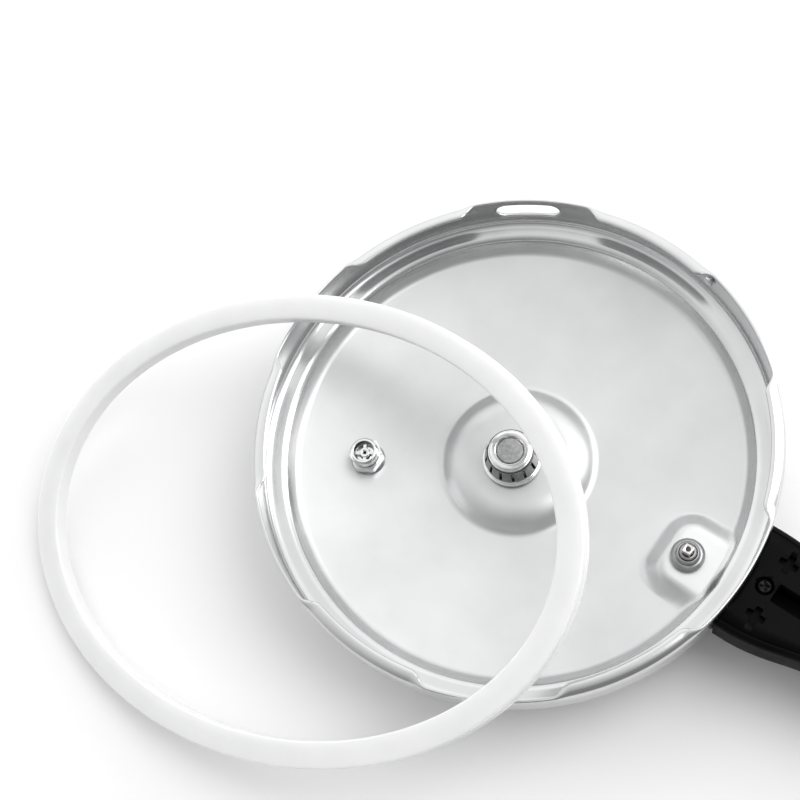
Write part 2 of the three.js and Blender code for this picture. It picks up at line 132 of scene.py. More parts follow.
# The handle and its lock.
FACE_Z = RIM_Z - 8.0
HANDLE_Y = foot_of("handle_screw_front").y
HANDLE_END = box_mm("handle_cover")[1].x
SKIRT_GAP = 0.15
SEAM_GAP = 0.15
COVER_TUCK = 4.0
SCREW_HOLE_R = 2.1
SCREW_SEAT_R = 4.2
LOCK_HALF = 3.6

# The sealing ring: an oval band, turned in its own plane and tilted.
RING_CENTRE = Vector((-64.0, -90.7, RIM_Z - 7.15))
RING_LEAN_AXIS = math.radians(-25.4)
RING_LEAN = math.radians(19.0)
RING_TURN = math.radians(47.5)
RING_LONG_HALF = 140.1
RING_SHORT_HALF = 102.3
RING_WIDE = 6.1
RING_HIGH = 4.1


# ---------- mesh helpers ----------

def link(obj):
    bpy.context.scene.collection.objects.link(obj)
    return obj


def finish_mesh(name, bm, material, sharp=32.0):
    """Turns a bmesh in millimetres into a smooth-shaded object in metres with crisp edges kept."""
    bmesh.ops.remove_doubles(bm, verts=bm.verts, dist=1e-4)
    bmesh.ops.dissolve_degenerate(bm, edges=bm.edges, dist=1e-5)
    bmesh.ops.recalc_face_normals(bm, faces=bm.faces)
    limit = math.radians(sharp)
    for face in bm.faces:
        face.smooth = True
    for edge in bm.edges:
        edge.smooth = len(edge.link_faces) == 2 and edge.calc_face_angle(0.0) < limit
    bmesh.ops.scale(bm, vec=(MM, MM, MM), verts=bm.verts)
    mesh = bpy.data.meshes.new(name)
    bm.to_mesh(mesh)
    bm.free()
    mesh.materials.append(material)
    return link(bpy.data.objects.new(name, mesh))


def grid_mesh(rows, close_rows=True, close_columns=True, cap_ends=False):
    """A bmesh from rows of points, joined into quads."""
    bm = bmesh.new()
    made = [[bm.verts.new(point) for point in row] for row in rows]
    high = len(made) if close_rows else len(made) - 1
    wide = len(made[0]) if close_columns else len(made[0]) - 1
    for j in range(high):
        upper = made[(j + 1) % len(made)]
        for i in range(wide):
            k = (i + 1) % len(made[0])
            bm.faces.new((made[j][i], made[j][k], upper[k], upper[i]))
    if cap_ends:
        bm.faces.new(made[0])
        bm.faces.new(list(reversed(made[-1])))
    return bm


def rounded(points, radius, steps=5):
    """The line of points with each inner corner turned into an arc."""
    line = [Vector(points[0])]
    for before, corner, after in zip(points, points[1:], points[2:]):
        before, corner, after = Vector(before), Vector(corner), Vector(after)
        into, out = (before - corner), (after - corner)
        bend = into.angle(out, math.pi)
        if bend > math.radians(176):
            line.append(corner)
            continue
        reach = min(radius / math.tan(bend / 2), into.length * 0.45, out.length * 0.45)
        line += bend_line(before, corner, after, reach, steps)
    line.append(Vector(points[-1]))
    return line


def bend_line(before, corner, after, reach, steps):
    """A smooth turn at a corner, starting and ending the same reach away from it."""
    start = corner + (before - corner).normalized() * reach
    end = corner + (after - corner).normalized() * reach
    line = []
    for k in range(steps + 1):
        t = k / steps
        line.append(start * (1 - t) ** 2 + corner * 2 * t * (1 - t) + end * t ** 2)
    return line


def turned_bmesh(profile, radius=0.3, steps=96, closed=False):
    """Revolves an outline of (radius, height) pairs about +Z. A closed outline ends where it starts."""
    points = [Vector(p) for p in profile]
    if closed:
        middle = (points[0] + points[1]) / 2
        points = [middle] + points[1:-1] + [points[0], middle]
    line = rounded(points, radius)
    if closed:
        line = line[:-1]
    rows = []
    for j in range(steps):
        angle = 2 * math.pi * j / steps
        rows.append([(p.x * math.cos(angle), p.x * math.sin(angle), p.y) for p in line])
    return grid_mesh(rows, close_columns=closed)


def rod(radius, low, high, steps=32, rounding=0.01):
    """A solid cylinder about +Z."""
    return turned_bmesh([(0, low), (radius, low), (radius, high), (0, high)], rounding, steps)


def box_bmesh(low, high):
    bm = bmesh.new()
    bmesh.ops.create_cube(bm, size=1.0)
    size = Vector(high) - Vector(low)
    middle = (Vector(high) + Vector(low)) / 2
    matrix = Matrix.Translation(middle) @ Matrix.Diagonal((*size, 1))
    bmesh.ops.transform(bm, matrix=matrix, verts=bm.verts)
    return bm


def prism_bmesh(outline, low, high):
    """A flat outline in X and Y, pushed up from low to high."""
    rows = [[(x, y, z) for x, y in outline] for z in (low, high)]
    return grid_mesh(rows, close_rows=False, cap_ends=True)


def slot_outline(x0, x1, half, radius):
    """A long slot with rounded corners, in X and Y."""
    outline = []
    for cx, cy, start in ((x1 - radius, half - radius, 0), (x0 + radius, half - radius, 90),
                          (x0 + radius, -half + radius, 180), (x1 - radius, -half + radius, 270)):
        for k in range(7):
            angle = math.radians(start + 15 * k)
            outline.append((cx + radius * math.cos(angle), cy + radius * math.sin(angle)))
    return outline


def cut(piece, *cutters):
    """Cuts bmesh tools, given in millimetres, out of a piece."""
    for number, bm in enumerate(cutters):
        tool = finish_mesh(f"{piece.name}_tool_{number}", bm, bpy.data.materials["tool"])
        modifier = piece.modifiers.new("cut", "BOOLEAN")
        modifier.operation = "DIFFERENCE"
        modifier.solver = "EXACT"
        modifier.object = tool
        apply_modifiers(piece)
        bpy.data.objects.remove(tool)
    return piece


def apply_modifiers(piece):
    """Makes a piece's mesh what its modifiers show."""
    graph = bpy.context.evaluated_depsgraph_get()
    mesh = bpy.data.meshes.new_from_object(piece.evaluated_get(graph))
    piece.modifiers.clear()
    piece.data = mesh
    return piece


def soften(piece, width, segments=3, angle=40.0):
    """Rounds a piece's sharp edges, keeping a narrow highlight on each."""
    modifier = piece.modifiers.new("soften", "BEVEL")
    modifier.width = width * MM
    modifier.segments = segments
    modifier.limit_method = "ANGLE"
    modifier.angle_limit = math.radians(angle)
    modifier.harden_normals = False
    return apply_modifiers(piece)


def place(bm, offset=(0, 0, 0), turn=0.0, axis="Z"):
    """Turns a bmesh about an axis, then moves it."""
    matrix = Matrix.Translation(Vector(offset)) @ Matrix.Rotation(turn, 4, axis)
    bmesh.ops.transform(bm, matrix=matrix, verts=bm.verts)
    return bm


def move_mesh(piece, offset):
    """Moves a finished piece by an offset in millimetres."""
    piece.data.transform(Matrix.Translation(Vector(offset) * MM))
    return piece


def join_bmesh(*parts):
    whole = parts[0]
    for part in parts[1:]:
        mesh = bpy.data.meshes.new("part")
        part.to_mesh(mesh)
        part.free()
        whole.from_mesh(mesh)
        bpy.data.meshes.remove(mesh)
    return whole


def smoothstep(value, low, high):
    t = min(max((value - low) / (high - low), 0.0), 1.0)
    return t * t * (3 - 2 * t)


def fit(piece, body, slot, *nodes):
    """Says which body a piece rides on and the CAD nodes it stands for, if any, and hides those nodes. The
    material slot is not used.
    """
    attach(piece, body)
    if nodes:
        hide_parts(*nodes)
    return piece


# ---------- materials ----------

def new_material(name, colour, roughness, metallic):
    """A node material and its shader. Most materials then vary the colour and roughness over the surface."""
    material = bpy.data.materials.new(name)
    material.use_nodes = True
    shader = material.node_tree.nodes["Principled BSDF"]
    shader.inputs["Base Color"].default_value = (*colour, 1)
    shader.inputs["Roughness"].default_value = roughness
    shader.inputs["Metallic"].default_value = metallic
    return material, shader


def noise(material, scale, detail=4.0, stretch=(1, 1, 1), roughness=0.55):
    """A noise texture in the object's own space; scale counts features per metre."""
    nodes, links = material.node_tree.nodes, material.node_tree.links
    place_node = nodes.new("ShaderNodeTexCoord")
    mapping = nodes.new("ShaderNodeMapping")
    mapping.inputs["Scale"].default_value = stretch
    texture = nodes.new("ShaderNodeTexNoise")
    texture.inputs["Scale"].default_value = scale
    texture.inputs["Detail"].default_value = detail
    texture.inputs["Roughness"].default_value = roughness
    links.new(place_node.outputs["Object"], mapping.inputs["Vector"])
    links.new(mapping.outputs["Vector"], texture.inputs["Vector"])
    return texture.outputs["Fac"]


def spread(material, source, low, high, start=0.3, end=0.7):
    """Maps a texture's middle range onto low to high."""
    node = material.node_tree.nodes.new("ShaderNodeMapRange")
    node.inputs["From Min"].default_value = start
    node.inputs["From Max"].default_value = end
    node.inputs["To Min"].default_value = low
    node.inputs["To Max"].default_value = high
    material.node_tree.links.new(source, node.inputs["Value"])
    return node.outputs["Result"]


def tones(material, shader, source, dark, light):
    """Colours a material from dark to light as the texture rises."""
    ramp = material.node_tree.nodes.new("ShaderNodeValToRGB")
    ramp.color_ramp.elements[0].position = 0.3
    ramp.color_ramp.elements[1].position = 0.7
    ramp.color_ramp.elements[0].color = (*dark, 1)
    ramp.color_ramp.elements[1].color = (*light, 1)
    material.node_tree.links.new(source, ramp.inputs["Fac"])
    material.node_tree.links.new(ramp.outputs["Color"], shader.inputs["Base Color"])


def bump(material, shader, source, strength, distance):
    """Raises the surface by up to distance millimetres where the texture is bright."""
    node = material.node_tree.nodes.new("ShaderNodeBump")
    node.inputs["Strength"].default_value = strength
    node.inputs["Distance"].default_value = distance * MM
    material.node_tree.links.new(source, node.inputs["Height"])
    material.node_tree.links.new(node.outputs["Normal"], shader.inputs["Normal"])


def radius_of(material):
    """Distance from the lid's axis, in metres."""
    nodes, links = material.node_tree.nodes, material.node_tree.links
    coordinates = nodes.new("ShaderNodeTexCoord")
    flat = nodes.new("ShaderNodeVectorMath")
    flat.operation = "MULTIPLY"
    flat.inputs[1].default_value = (1, 1, 0)
    length = nodes.new("ShaderNodeVectorMath")
    length.operation = "LENGTH"
    links.new(coordinates.outputs["Object"], flat.inputs[0])
    links.new(flat.outputs["Vector"], length.inputs[0])
    return length.outputs["Value"]


def sheet_steel():
    """Satin pressed steel, spun in circles about the axis, brighter and smoother on the rim."""
    material, shader = new_material("sheet_steel", (0.78, 0.785, 0.79), 0.34, 1.0)
    nodes, links = material.node_tree.nodes, material.node_tree.links
    radius = radius_of(material)
    lines = nodes.new("ShaderNodeTexNoise")
    lines.noise_dimensions = "1D"
    lines.inputs["Scale"].default_value = 2600
    lines.inputs["Detail"].default_value = 3.0
    links.new(radius, lines.inputs["W"])
    clouds = noise(material, 22, 5.0)
    tones(material, shader, clouds, (0.61, 0.613, 0.617), (0.69, 0.693, 0.696))
    satin = spread(material, clouds, 0.38, 0.45)
    polish = spread(material, radius, 0.0, 1.0, 0.1075, 0.1095)
    mix = nodes.new("ShaderNodeMix")
    mix.data_type = "FLOAT"
    mix.inputs["B"].default_value = 0.21
    links.new(polish, mix.inputs["Factor"])
    links.new(satin, mix.inputs["A"])
    links.new(mix.outputs["Result"], shader.inputs["Roughness"])
    bump(material, shader, lines.outputs["Fac"], 0.10, 0.02)
    return material


def polished_steel():
    """Turned and polished steel with faint handling marks."""
    material, shader = new_material("polished_steel", (0.82, 0.825, 0.83), 0.12, 1.0)
    marks = noise(material, 260, 6.0)
    tones(material, shader, marks, (0.74, 0.745, 0.75), (0.86, 0.863, 0.866))
    links = material.node_tree.links
    links.new(spread(material, marks, 0.08, 0.2), shader.inputs["Roughness"])
    bump(material, shader, noise(material, 900, 3.0), 0.08, 0.02)
    return material


def grey_steel():
    """Darker bead-blasted steel."""
    material, shader = new_material("grey_steel", (0.34, 0.34, 0.345), 0.34, 1.0)
    marks = noise(material, 420, 5.0)
    tones(material, shader, marks, (0.27, 0.27, 0.275), (0.42, 0.422, 0.425))
    material.node_tree.links.new(spread(material, marks, 0.26, 0.42), shader.inputs["Roughness"])
    bump(material, shader, noise(material, 1500, 3.0), 0.12, 0.03)
    return material


def painted_shade_steel():
    """Deep grey steel with a soft shine, whose darkness is painted shade for the inside of the safety valve.
    """
    material, shader = new_material("painted_shade_steel", (0.2, 0.2, 0.203), 0.34, 1.0)
    marks = noise(material, 700, 5.0)
    tones(material, shader, marks, (0.15, 0.15, 0.153), (0.27, 0.27, 0.273))
    material.node_tree.links.new(spread(material, marks, 0.26, 0.42), shader.inputs["Roughness"])
    bump(material, shader, noise(material, 1500, 3.0), 0.12, 0.03)
    return material


def oxide_and_shade_black():
    """Steel with a dark oxide finish on the screws; on the cage's slot walls and on the lock bar the same
    black is painted shade.
    """
    material, shader = new_material("oxide_and_painted_shade_steel", (0.03, 0.03, 0.031), 0.4, 0.9)
    marks = noise(material, 500, 4.0)
    tones(material, shader, marks, (0.007, 0.007, 0.0075), (0.018, 0.018, 0.019))
    material.node_tree.links.new(spread(material, marks, 0.32, 0.5), shader.inputs["Roughness"])
    bump(material, shader, noise(material, 1500, 3.0), 0.1, 0.03)
    return material


def mesh_disc():
    """The blasted, mottled end of the strainer."""
    material, shader = new_material("mottled_disc", (0.36, 0.36, 0.365), 0.55, 0.85)
    blotches = noise(material, 620, 4.0, roughness=0.7)
    tones(material, shader, blotches, (0.25, 0.25, 0.253), (0.46, 0.46, 0.465))
    bump(material, shader, blotches, 0.5, 0.12)
    return material


def phenolic():
    """Matte black moulded phenolic with a fine eggshell grain."""
    material, shader = new_material("phenolic", (0.006, 0.006, 0.0065), 0.42, 0.0)
    clouds = noise(material, 60, 5.0)
    shader.inputs["Specular IOR Level"].default_value = 0.05
    tones(material, shader, clouds, (0.002, 0.002, 0.0021), (0.004, 0.004, 0.0042))
    material.node_tree.links.new(spread(material, clouds, 0.4, 0.54), shader.inputs["Roughness"])
    bump(material, shader, noise(material, 1400, 4.0), 0.16, 0.05)
    return material


def silicone():
    """Milky translucent silicone with a soft sheen."""
    material, shader = new_material("silicone", (0.93, 0.935, 0.935), 0.42, 0.0)
    clouds = noise(material, 35, 4.0)
    tones(material, shader, clouds, (0.79, 0.793, 0.793), (0.83, 0.832, 0.832))
    shader.inputs["Subsurface Weight"].default_value = 1.0
    shader.inputs["Subsurface Radius"].default_value = (1.0, 1.0, 1.0)
    shader.inputs["Subsurface Scale"].default_value = 0.007
    material.node_tree.links.new(spread(material, clouds, 0.36, 0.5), shader.inputs["Roughness"])
    bump(material, shader, noise(material, 700, 3.0), 0.06, 0.04)
    return material


def rubber():
    """Dull black rubber."""
    material, shader = new_material("rubber", (0.02, 0.02, 0.021), 0.6, 0.0)
    tones(material, shader, noise(material, 300, 4.0), (0.014, 0.014, 0.015), (0.035, 0.035, 0.037))
    bump(material, shader, noise(material, 1200, 3.0), 0.15, 0.04)
    return material


def red_seal():
    """The dark red end of the indicator's pin."""
    material, shader = new_material("red_dot", (0.06, 0.015, 0.012), 0.4, 0.0)
    tones(material, shader, noise(material, 900, 3.0), (0.04, 0.011, 0.01), (0.09, 0.02, 0.017))
    return material


bpy.data.materials.new("tool")
SHEET_STEEL = sheet_steel()
POLISHED = polished_steel()
GREY = grey_steel()
OXIDE_AND_SHADE_BLACK = oxide_and_shade_black()
PAINTED_SHADE_STEEL = painted_shade_steel()
MOTTLED = mesh_disc()
BLACK = phenolic()
SILICONE = silicone()
RUBBER = rubber()
RED = red_seal()


# ---------- the pressed lid ----------

def dome(r):
    """Height of the dished bottom at a radius."""
    return DOME_Z + DOME_RISE * (r / STEP_R) ** 2


def lid_profile():
    """The inner surface from the centre hole to the top of the skirt, with pressed radii at its bends."""
    middle, top = Vector((0, PLATEAU_Z)), Vector((PLATEAU_R, PLATEAU_Z))
    foot, beyond = Vector((FOOT_R, dome(FOOT_R))), Vector((46.5, dome(46.5)))
    plateau = [Vector((r, PLATEAU_Z)) for r in (PILOT_R, 8.5, 11.0, 14.0, 18.0)]
    flank = bend_line(middle, top, foot, 6.8, 14) + bend_line(top, foot, beyond, 2.2, 8)
    dished = [Vector((r, dome(r))) for r in (42, 46.5, *np.arange(48, 100.5, 1.4))]
    step = rounded([
        (101.0, dome(101.0)), (STEP_R - 0.5, dome(STEP_R - 0.5)), (STEP_R + 4.2, CHANNEL_Z - 0.6),
        (INNER_R, CHANNEL_Z + 0.4), (INNER_R, RIM_Z - SHEET),
    ], 5.0, 10)
    up_skirt = [Vector((INNER_R, z)) for z in np.linspace(CHANNEL_Z + 7, RIM_Z - 4.5, 5)]
    return plateau + flank + dished + step[:-1] + up_skirt


def offset_profile(line, distance):
    """The line moved sideways, which is down and out for the lid's profile."""
    moved = []
    for i, point in enumerate(line):
        before, after = line[max(i - 1, 0)], line[min(i + 1, len(line) - 1)]
        along = (after - before).normalized()
        moved.append(point + Vector((along.y, -along.x)) * distance)
    return moved


def boss_weight(x, y):
    """1 on the raised pad beside the handle, falling off round its soft corners."""
    dx = max(BOSS_FROM + BOSS_CORNER - x, 0.0)
    dy = max(abs(y - BOSS_Y) - (BOSS_HALF - BOSS_CORNER), 0.0)
    away = math.hypot(dx, dy) - BOSS_CORNER
    return 1 - smoothstep(away, -BOSS_SLOPE, BOSS_SLOPE)


def open_weight(degrees_round):
    """1 where the rim is open between two lugs, 0 on a lug."""
    away = abs(degrees_round - round(degrees_round / LUG_PITCH) * LUG_PITCH)
    t = min(max((away - OPEN_HALF + OPEN_BLEND) / (2 * OPEN_BLEND), 0.0), 1.0)
    return 1 - t * t * t * (t * (6 * t - 15) + 10)


def lid_angles():
    """Every degree, and finer where a lug runs out."""
    fine = [k * LUG_PITCH + side * (OPEN_HALF + d) for k in range(LUG_COUNT) for side in (-1, 1)
            for d in np.arange(-OPEN_BLEND, OPEN_BLEND + 0.01, 0.26)]
    return sorted({round(a % 360, 3) for a in list(np.arange(0, 360, 1.0)) + fine})


# The rim's section from the inner skirt over the top and down the outer skirt,
# bent in on a lug and upright between two lugs. Both have the same number of points.
LUG_EDGE = [
    (INNER_R - 0.25, RIM_Z - 3.2), (INNER_R - 0.9, RIM_Z - 2.2), (INNER_R - 1.9, RIM_Z - 1.65),
    (INNER_R - 3, RIM_Z - SHEET), (LUG_R + 0.5, RIM_Z - SHEET), (LUG_R, RIM_Z - 1.1),
    (LUG_R, RIM_Z - 0.4), (LUG_R + 0.4, RIM_Z), (SKIRT_R - 4.6, RIM_Z), (SKIRT_R - 3, RIM_Z - 0.2),
    (SKIRT_R - 1.5, RIM_Z - 0.9), (SKIRT_R - 0.5, RIM_Z - 2.1), (SKIRT_R - 0.1, RIM_Z - 3.3),
]
WALL_EDGE = [
    (INNER_R, RIM_Z - 3.2), (INNER_R, RIM_Z - 2.4), (INNER_R, RIM_Z - 1.9), (INNER_R, RIM_Z - 1.4),
    (INNER_R, RIM_Z - 0.9), (INNER_R, RIM_Z - 0.6), (INNER_R + 0.05, RIM_Z - 0.3),
    (INNER_R + 0.25, RIM_Z - 0.08), (INNER_R + 0.5, RIM_Z), (SKIRT_R - 0.7, RIM_Z),
    (SKIRT_R - 0.35, RIM_Z - 0.12), (SKIRT_R - 0.1, RIM_Z - 0.45), (SKIRT_R, RIM_Z - 1.2),
]


def pressed(point, cosine, sine, drop):
    """A profile point swung round to its place, raised where the pad beside the handle is."""
    x, y, z = point.x * cosine, point.x * sine, point.y
    if point.x < STEP_R + 5:
        z += max(BOSS_TOP - drop - z, 0.0) * boss_weight(x, y)
    return (x, y, z)


def lid():
    """The whole pressed sheet, with its lugs, its raised pad, its holes and its window."""
    inner = lid_profile()
    outer = offset_profile(inner, SHEET)
    outer[-1] = Vector((SKIRT_R, RIM_Z - 4.5))
    rows = []
    for degrees_round in lid_angles():
        angle = math.radians(degrees_round)
        cosine, sine = math.cos(angle), math.sin(angle)
        open_here = open_weight(degrees_round)
        rim = [tuple(Vector(a).lerp(Vector(b), open_here)) for a, b in zip(LUG_EDGE, WALL_EDGE)]
        row = [pressed(p, cosine, sine, 0.0) for p in inner]
        row += [(r * cosine, r * sine, z) for r, z in rim]
        row += [pressed(p, cosine, sine, SHEET) for p in reversed(outer)]
        rows.append(row)
    piece = finish_mesh("lid_sheet", grid_mesh(rows), SHEET_STEEL, sharp=50)
    cut(
        piece,
        place(rod(VENT_HOLE_R, 0, RIM_Z), VENT),
        place(rod(SAFETY_HOLE_R, 0, RIM_Z), SAFETY),
        place(rod(INDICATOR_HOLE_R, 0, RIM_Z), INDICATOR),
        window_tool(),
    )
    return fit(piece, "lid", "brushed_steel", "lid_shell")


def window_tool():
    """Cuts the long window in the skirt, with round ends."""
    ends = np.linspace(-math.pi / 2, math.pi / 2, 13)
    outline = [(WINDOW_HALF + WINDOW_R * math.cos(a), WINDOW_R * math.sin(a)) for a in ends]
    outline += [(-WINDOW_HALF - WINDOW_R * math.cos(a), -WINDOW_R * math.sin(a)) for a in ends]
    bm = prism_bmesh(outline, SKIRT_R - 12, SKIRT_R + 4)
    upright = Matrix.Rotation(math.pi / 2, 3, "X")
    bmesh.ops.rotate(bm, cent=(0, 0, 0), matrix=upright, verts=bm.verts)
    bmesh.ops.scale(bm, vec=(1, -1, 1), verts=bm.verts)
    return place(place(bm, (0, 0, WINDOW_Z)), turn=WINDOW_ANGLE - math.pi / 2)


def stop_rivet():
    """A small rivet through the skirt, with a head on each side."""
    profile = [
        (0, INNER_R - 2), (2.2, INNER_R - 1.8), (3, INNER_R - 0.7), (1.5, INNER_R - 0.7),
        (1.5, SKIRT_R + 0.3), (2.6, SKIRT_R + 0.3), (2, SKIRT_R + 1.4), (0, SKIRT_R + 1.5),
    ]
    bm = place(turned_bmesh(profile, 0.4, 40), turn=math.pi / 2, axis="Y")
    place(bm, (0, 0, RIVET_Z), RIVET_ANGLE)
    return fit(finish_mesh("stop_rivet_head", bm, POLISHED), "lid", "polished_steel", "stop_rivet")


# ---------- vent and regulator ----------

def cage():
    """The anti-clog cage: a foot ring, a slotted cone and a rolled top round its opening."""
    low, high = box_mm("anti_clog_cage")
    piece = finish_mesh("cage", turned_bmesh([
        (12.2, low.z), (13.6, low.z), (13.6, low.z + 0.7), (13.0, low.z + 0.9), (12.9, low.z + 1.3),
        (11.1, high.z - 2.3), (10.5, high.z - 2.1), (10.4, high.z - 1.3), (9.8, high.z - 1.1),
        (9.5, high.z - 0.2), (8.6, high.z), (7.2, high.z), (6.5, high.z - 0.7), (6.5, high.z - 1.7),
        (9.2, high.z - 2.2), (11.6, low.z + 1.3), (12.2, low.z),
    ], 0.35, 128, closed=True), POLISHED)
    outline = slot_outline(9.0, 15, 0.7, 0.1)
    slots = []
    for k in range(CAGE_SLOTS):
        bm = prism_bmesh(outline, low.z + 1.8, high.z - 2.9)
        slots.append(place(bm, turn=CAGE_TURN + 2 * math.pi * k / CAGE_SLOTS))
    cut(piece, join_bmesh(*slots))
    colour_cage_and_paint_slot_shade(piece, low.z, high.z)
    return fit(move_mesh(piece, VENT), "lid", "polished_steel", "anti_clog_cage")


def colour_cage_and_paint_slot_shade(piece, low, high):
    """Grey on the slotted band's outside, and black painted shade in the slots and behind them."""
    piece.data.materials.append(GREY)
    piece.data.materials.append(OXIDE_AND_SHADE_BLACK)
    opening = 6.6
    for face in piece.data.polygons:
        outward = Vector((face.center.x, face.center.y, 0)).normalized()
        in_band = low + 1.0 < face.center.z / MM < high - 2.0
        if in_band and face.center.xy.length > opening * MM:
            # Faces that do not face outward are painted black as shade in the slots and behind them.
            face.material_index = 1 if face.normal.dot(outward) > 0.5 else 2


def strainer():
    """The mottled disc in the cage's opening."""
    low, high = box_mm("strainer_disc")
    profile = [(0, low.z), (4, low.z), (6.2, low.z + 1.8), (6.2, high.z - 0.3), (0, high.z)]
    disc = finish_mesh("strainer", turned_bmesh(profile, 0.3, 64), MOTTLED)
    return fit(move_mesh(disc, VENT), "lid", "grey_steel", "strainer_disc")


def vent_nut():
    """The hexagon nut on the vent pipe, with a wide flange."""
    low, high = box_mm("vent_nut")
    bore = 5.2
    flange_top, nut_from = low.z + 1.6, low.z + 1.4
    flange = turned_bmesh([
        (bore, low.z), (14.2, low.z), (14.2, flange_top), (bore, flange_top), (bore, low.z),
    ], 0.6, 128, closed=True)
    nut = turned_bmesh([
        (bore, nut_from), (8.4, nut_from), (8.4, high.z), (bore, high.z), (bore, nut_from),
    ], 0.4, 6, closed=True)
    piece = finish_mesh("vent_flange", join_bmesh(flange, nut), POLISHED)
    return fit(move_mesh(piece, VENT), "lid", "polished_steel", "vent_nut")


def regulator_cap():
    """The black knob on the outside of the lid, fluted round its edge."""
    knob = finish_mesh("regulator_knob", turned_bmesh([
        (0, 0), (14.6, 0), (CAP_R, 1.4), (CAP_R, 7.6), (15, 9), (12.8, 9), (12.8, 4.7), (0, 4.7),
    ], 0.8, 128), BLACK)
    flutes = []
    for k in range(CAP_FLUTES):
        bm = place(rod(0.9, 1.8, 9.2, 12, 0.4), (CAP_R + 0.4, 0, 0))
        flutes.append(place(bm, turn=2 * math.pi * k / CAP_FLUTES))
    cut(knob, join_bmesh(*flutes))
    return fit(move_mesh(knob, VENT), "regulator", "phenolic", "regulator_cap")


def regulator_weight():
    """The heavy steel body under the knob, with one turned groove."""
    top = box_mm("regulator_weight")[1].z
    weight = finish_mesh("regulator_body", turned_bmesh([
        (0, 5), (12.4, 5), (12.4, top - 5), (11.8, top - 4.6), (11.8, top - 3.9), (12.4, top - 3.5),
        (12.4, top - 1.5), (10.8, top), (4.6, top), (4.6, 8), (0, 8),
    ], 0.35, 128), POLISHED)
    return fit(move_mesh(weight, VENT), "regulator", "polished_steel", "regulator_weight")


# ---------- safety valve ----------

def hex_nut(name, across, low, high, hole, material):
    """A hexagon nut with its corners turned off at both ends."""
    corner = across / 2 / math.cos(math.pi / 6)
    chamfer = corner - across / 2
    steps = 96
    rows = []
    for j in range(steps):
        angle = 2 * math.pi * j / steps
        sector = (angle + math.pi / 6) % (math.pi / 3) - math.pi / 6
        flat = across / 2 / math.cos(sector)
        flat = min(flat, corner - 0.15)
        drop = 0.55 * (flat - across / 2) / chamfer
        outline = [
            (hole, low), (across / 2 - 0.5, low), (flat, low + 0.25 + drop), (flat, high - 0.25 - drop),
            (across / 2 - 0.5, high), (hole + 0.5, high), (hole, high - 0.5),
        ]
        rows.append([(r * math.cos(angle), r * math.sin(angle), z) for r, z in outline])
    return finish_mesh(name, grid_mesh(rows), material, sharp=24)


def safety_nut():
    low, high = box_mm("safety_valve_nut")
    nut = move_mesh(hex_nut("safety_nut", 15.0, low.z, high.z, 5.2, POLISHED), SAFETY)
    return fit(nut, "lid", "polished_steel", "safety_valve_nut")


def safety_seat():
    """A shaped collar that fills the space between the nut and the dished sheet."""
    top = box_mm("safety_valve_nut")[0].z
    steps = 96
    rows = []
    for j in range(steps):
        angle = 2 * math.pi * j / steps
        row = []
        for r, is_top in ((5.3, True), (7.2, True), (8.3, False), (5.3, False)):
            x, y = SAFETY.x + r * math.cos(angle), SAFETY.y + r * math.sin(angle)
            in_sheet = min(dome(math.hypot(x, y)) - 0.1, top - 0.1)
            row.append((x, y, top - 0.02 if is_top else in_sheet))
        rows.append(row)
    return fit(finish_mesh("safety_seat", grid_mesh(rows), GREY), "lid", "grey_steel")


def safety_inlet():
    """A round grooved end with a cross and a hub inside; the darker steel inside is painted shade."""
    low, high = box_mm("safety_valve_inlet")
    collar = turned_bmesh([
        (4.5, low.z), (6.9, low.z), (6.9, low.z + 1.1), (6.5, low.z + 1.5), (6.5, low.z + 2.1),
        (6.9, low.z + 2.5), (6.9, low.z + 3.5), (5.9, high.z), (5.0, high.z), (4.5, low.z + 2.4),
        (4.5, low.z),
    ], 0.3, 96, closed=True)
    hub = turned_bmesh([
        (1.1, low.z), (2.4, low.z), (2.4, low.z + 2.3), (1.1, low.z + 2.3), (1.1, low.z),
    ], 0.3, 40, closed=True)
    bars = []
    for turn in (0.6, 0.6 + math.pi / 2):
        bar = box_bmesh((-4.6, -0.75, low.z), (4.6, 0.75, low.z + 1.8))
        bars.append(place(bar, turn=turn))
    inlet = finish_mesh("safety_inlet", place(join_bmesh(collar, hub, *bars), SAFETY), POLISHED)
    # The faces between the hub and the collar take the darker steel: painted shade in the valve's recess.
    inlet.data.materials.append(PAINTED_SHADE_STEEL)
    for face in inlet.data.polygons:
        from_middle = math.hypot(face.center.x / MM - SAFETY.x, face.center.y / MM - SAFETY.y)
        if 2.4 < from_middle < 5.4 and face.center.z / MM < high.z - 0.1:
            face.material_index = 1
    return fit(inlet, "lid", "polished_steel", "safety_valve_inlet")


def safety_cap():
    """The cap on the outside of the lid that holds the valve's spring."""
    cap = turned_bmesh([
        (1.5, 2.2), (6.6, 2.2), (8, 3.4), (8, 9), (6.7, 9), (6.7, 3.6), (1.5, 3.6), (1.5, 2.2),
    ], 0.5, 96, closed=True)
    piece = finish_mesh("safety_cap", place(cap, SAFETY), POLISHED)
    return fit(piece, "lid", "polished_steel", "safety_valve_cap")


def safety_body():
    """The valve's body, with a flange that clamps the sheet against the nut."""
    low, high = box_mm("safety_valve_body")
    flange = box_mm("safety_valve_nut")[0].z - 5.1
    body = turned_bmesh([
        (4.7, low.z), (6.4, low.z), (6.4, flange - 2.2), (9, flange - 2.2), (9, flange), (4.9, flange),
        (4.9, high.z), (2.6, high.z), (2.6, flange - 1.4), (4.7, flange - 1.4), (4.7, low.z),
    ], 0.3, 96, closed=True)
    piece = finish_mesh("safety_body", place(body, SAFETY), POLISHED)
    return fit(piece, "lid", "polished_steel", "safety_valve_body")


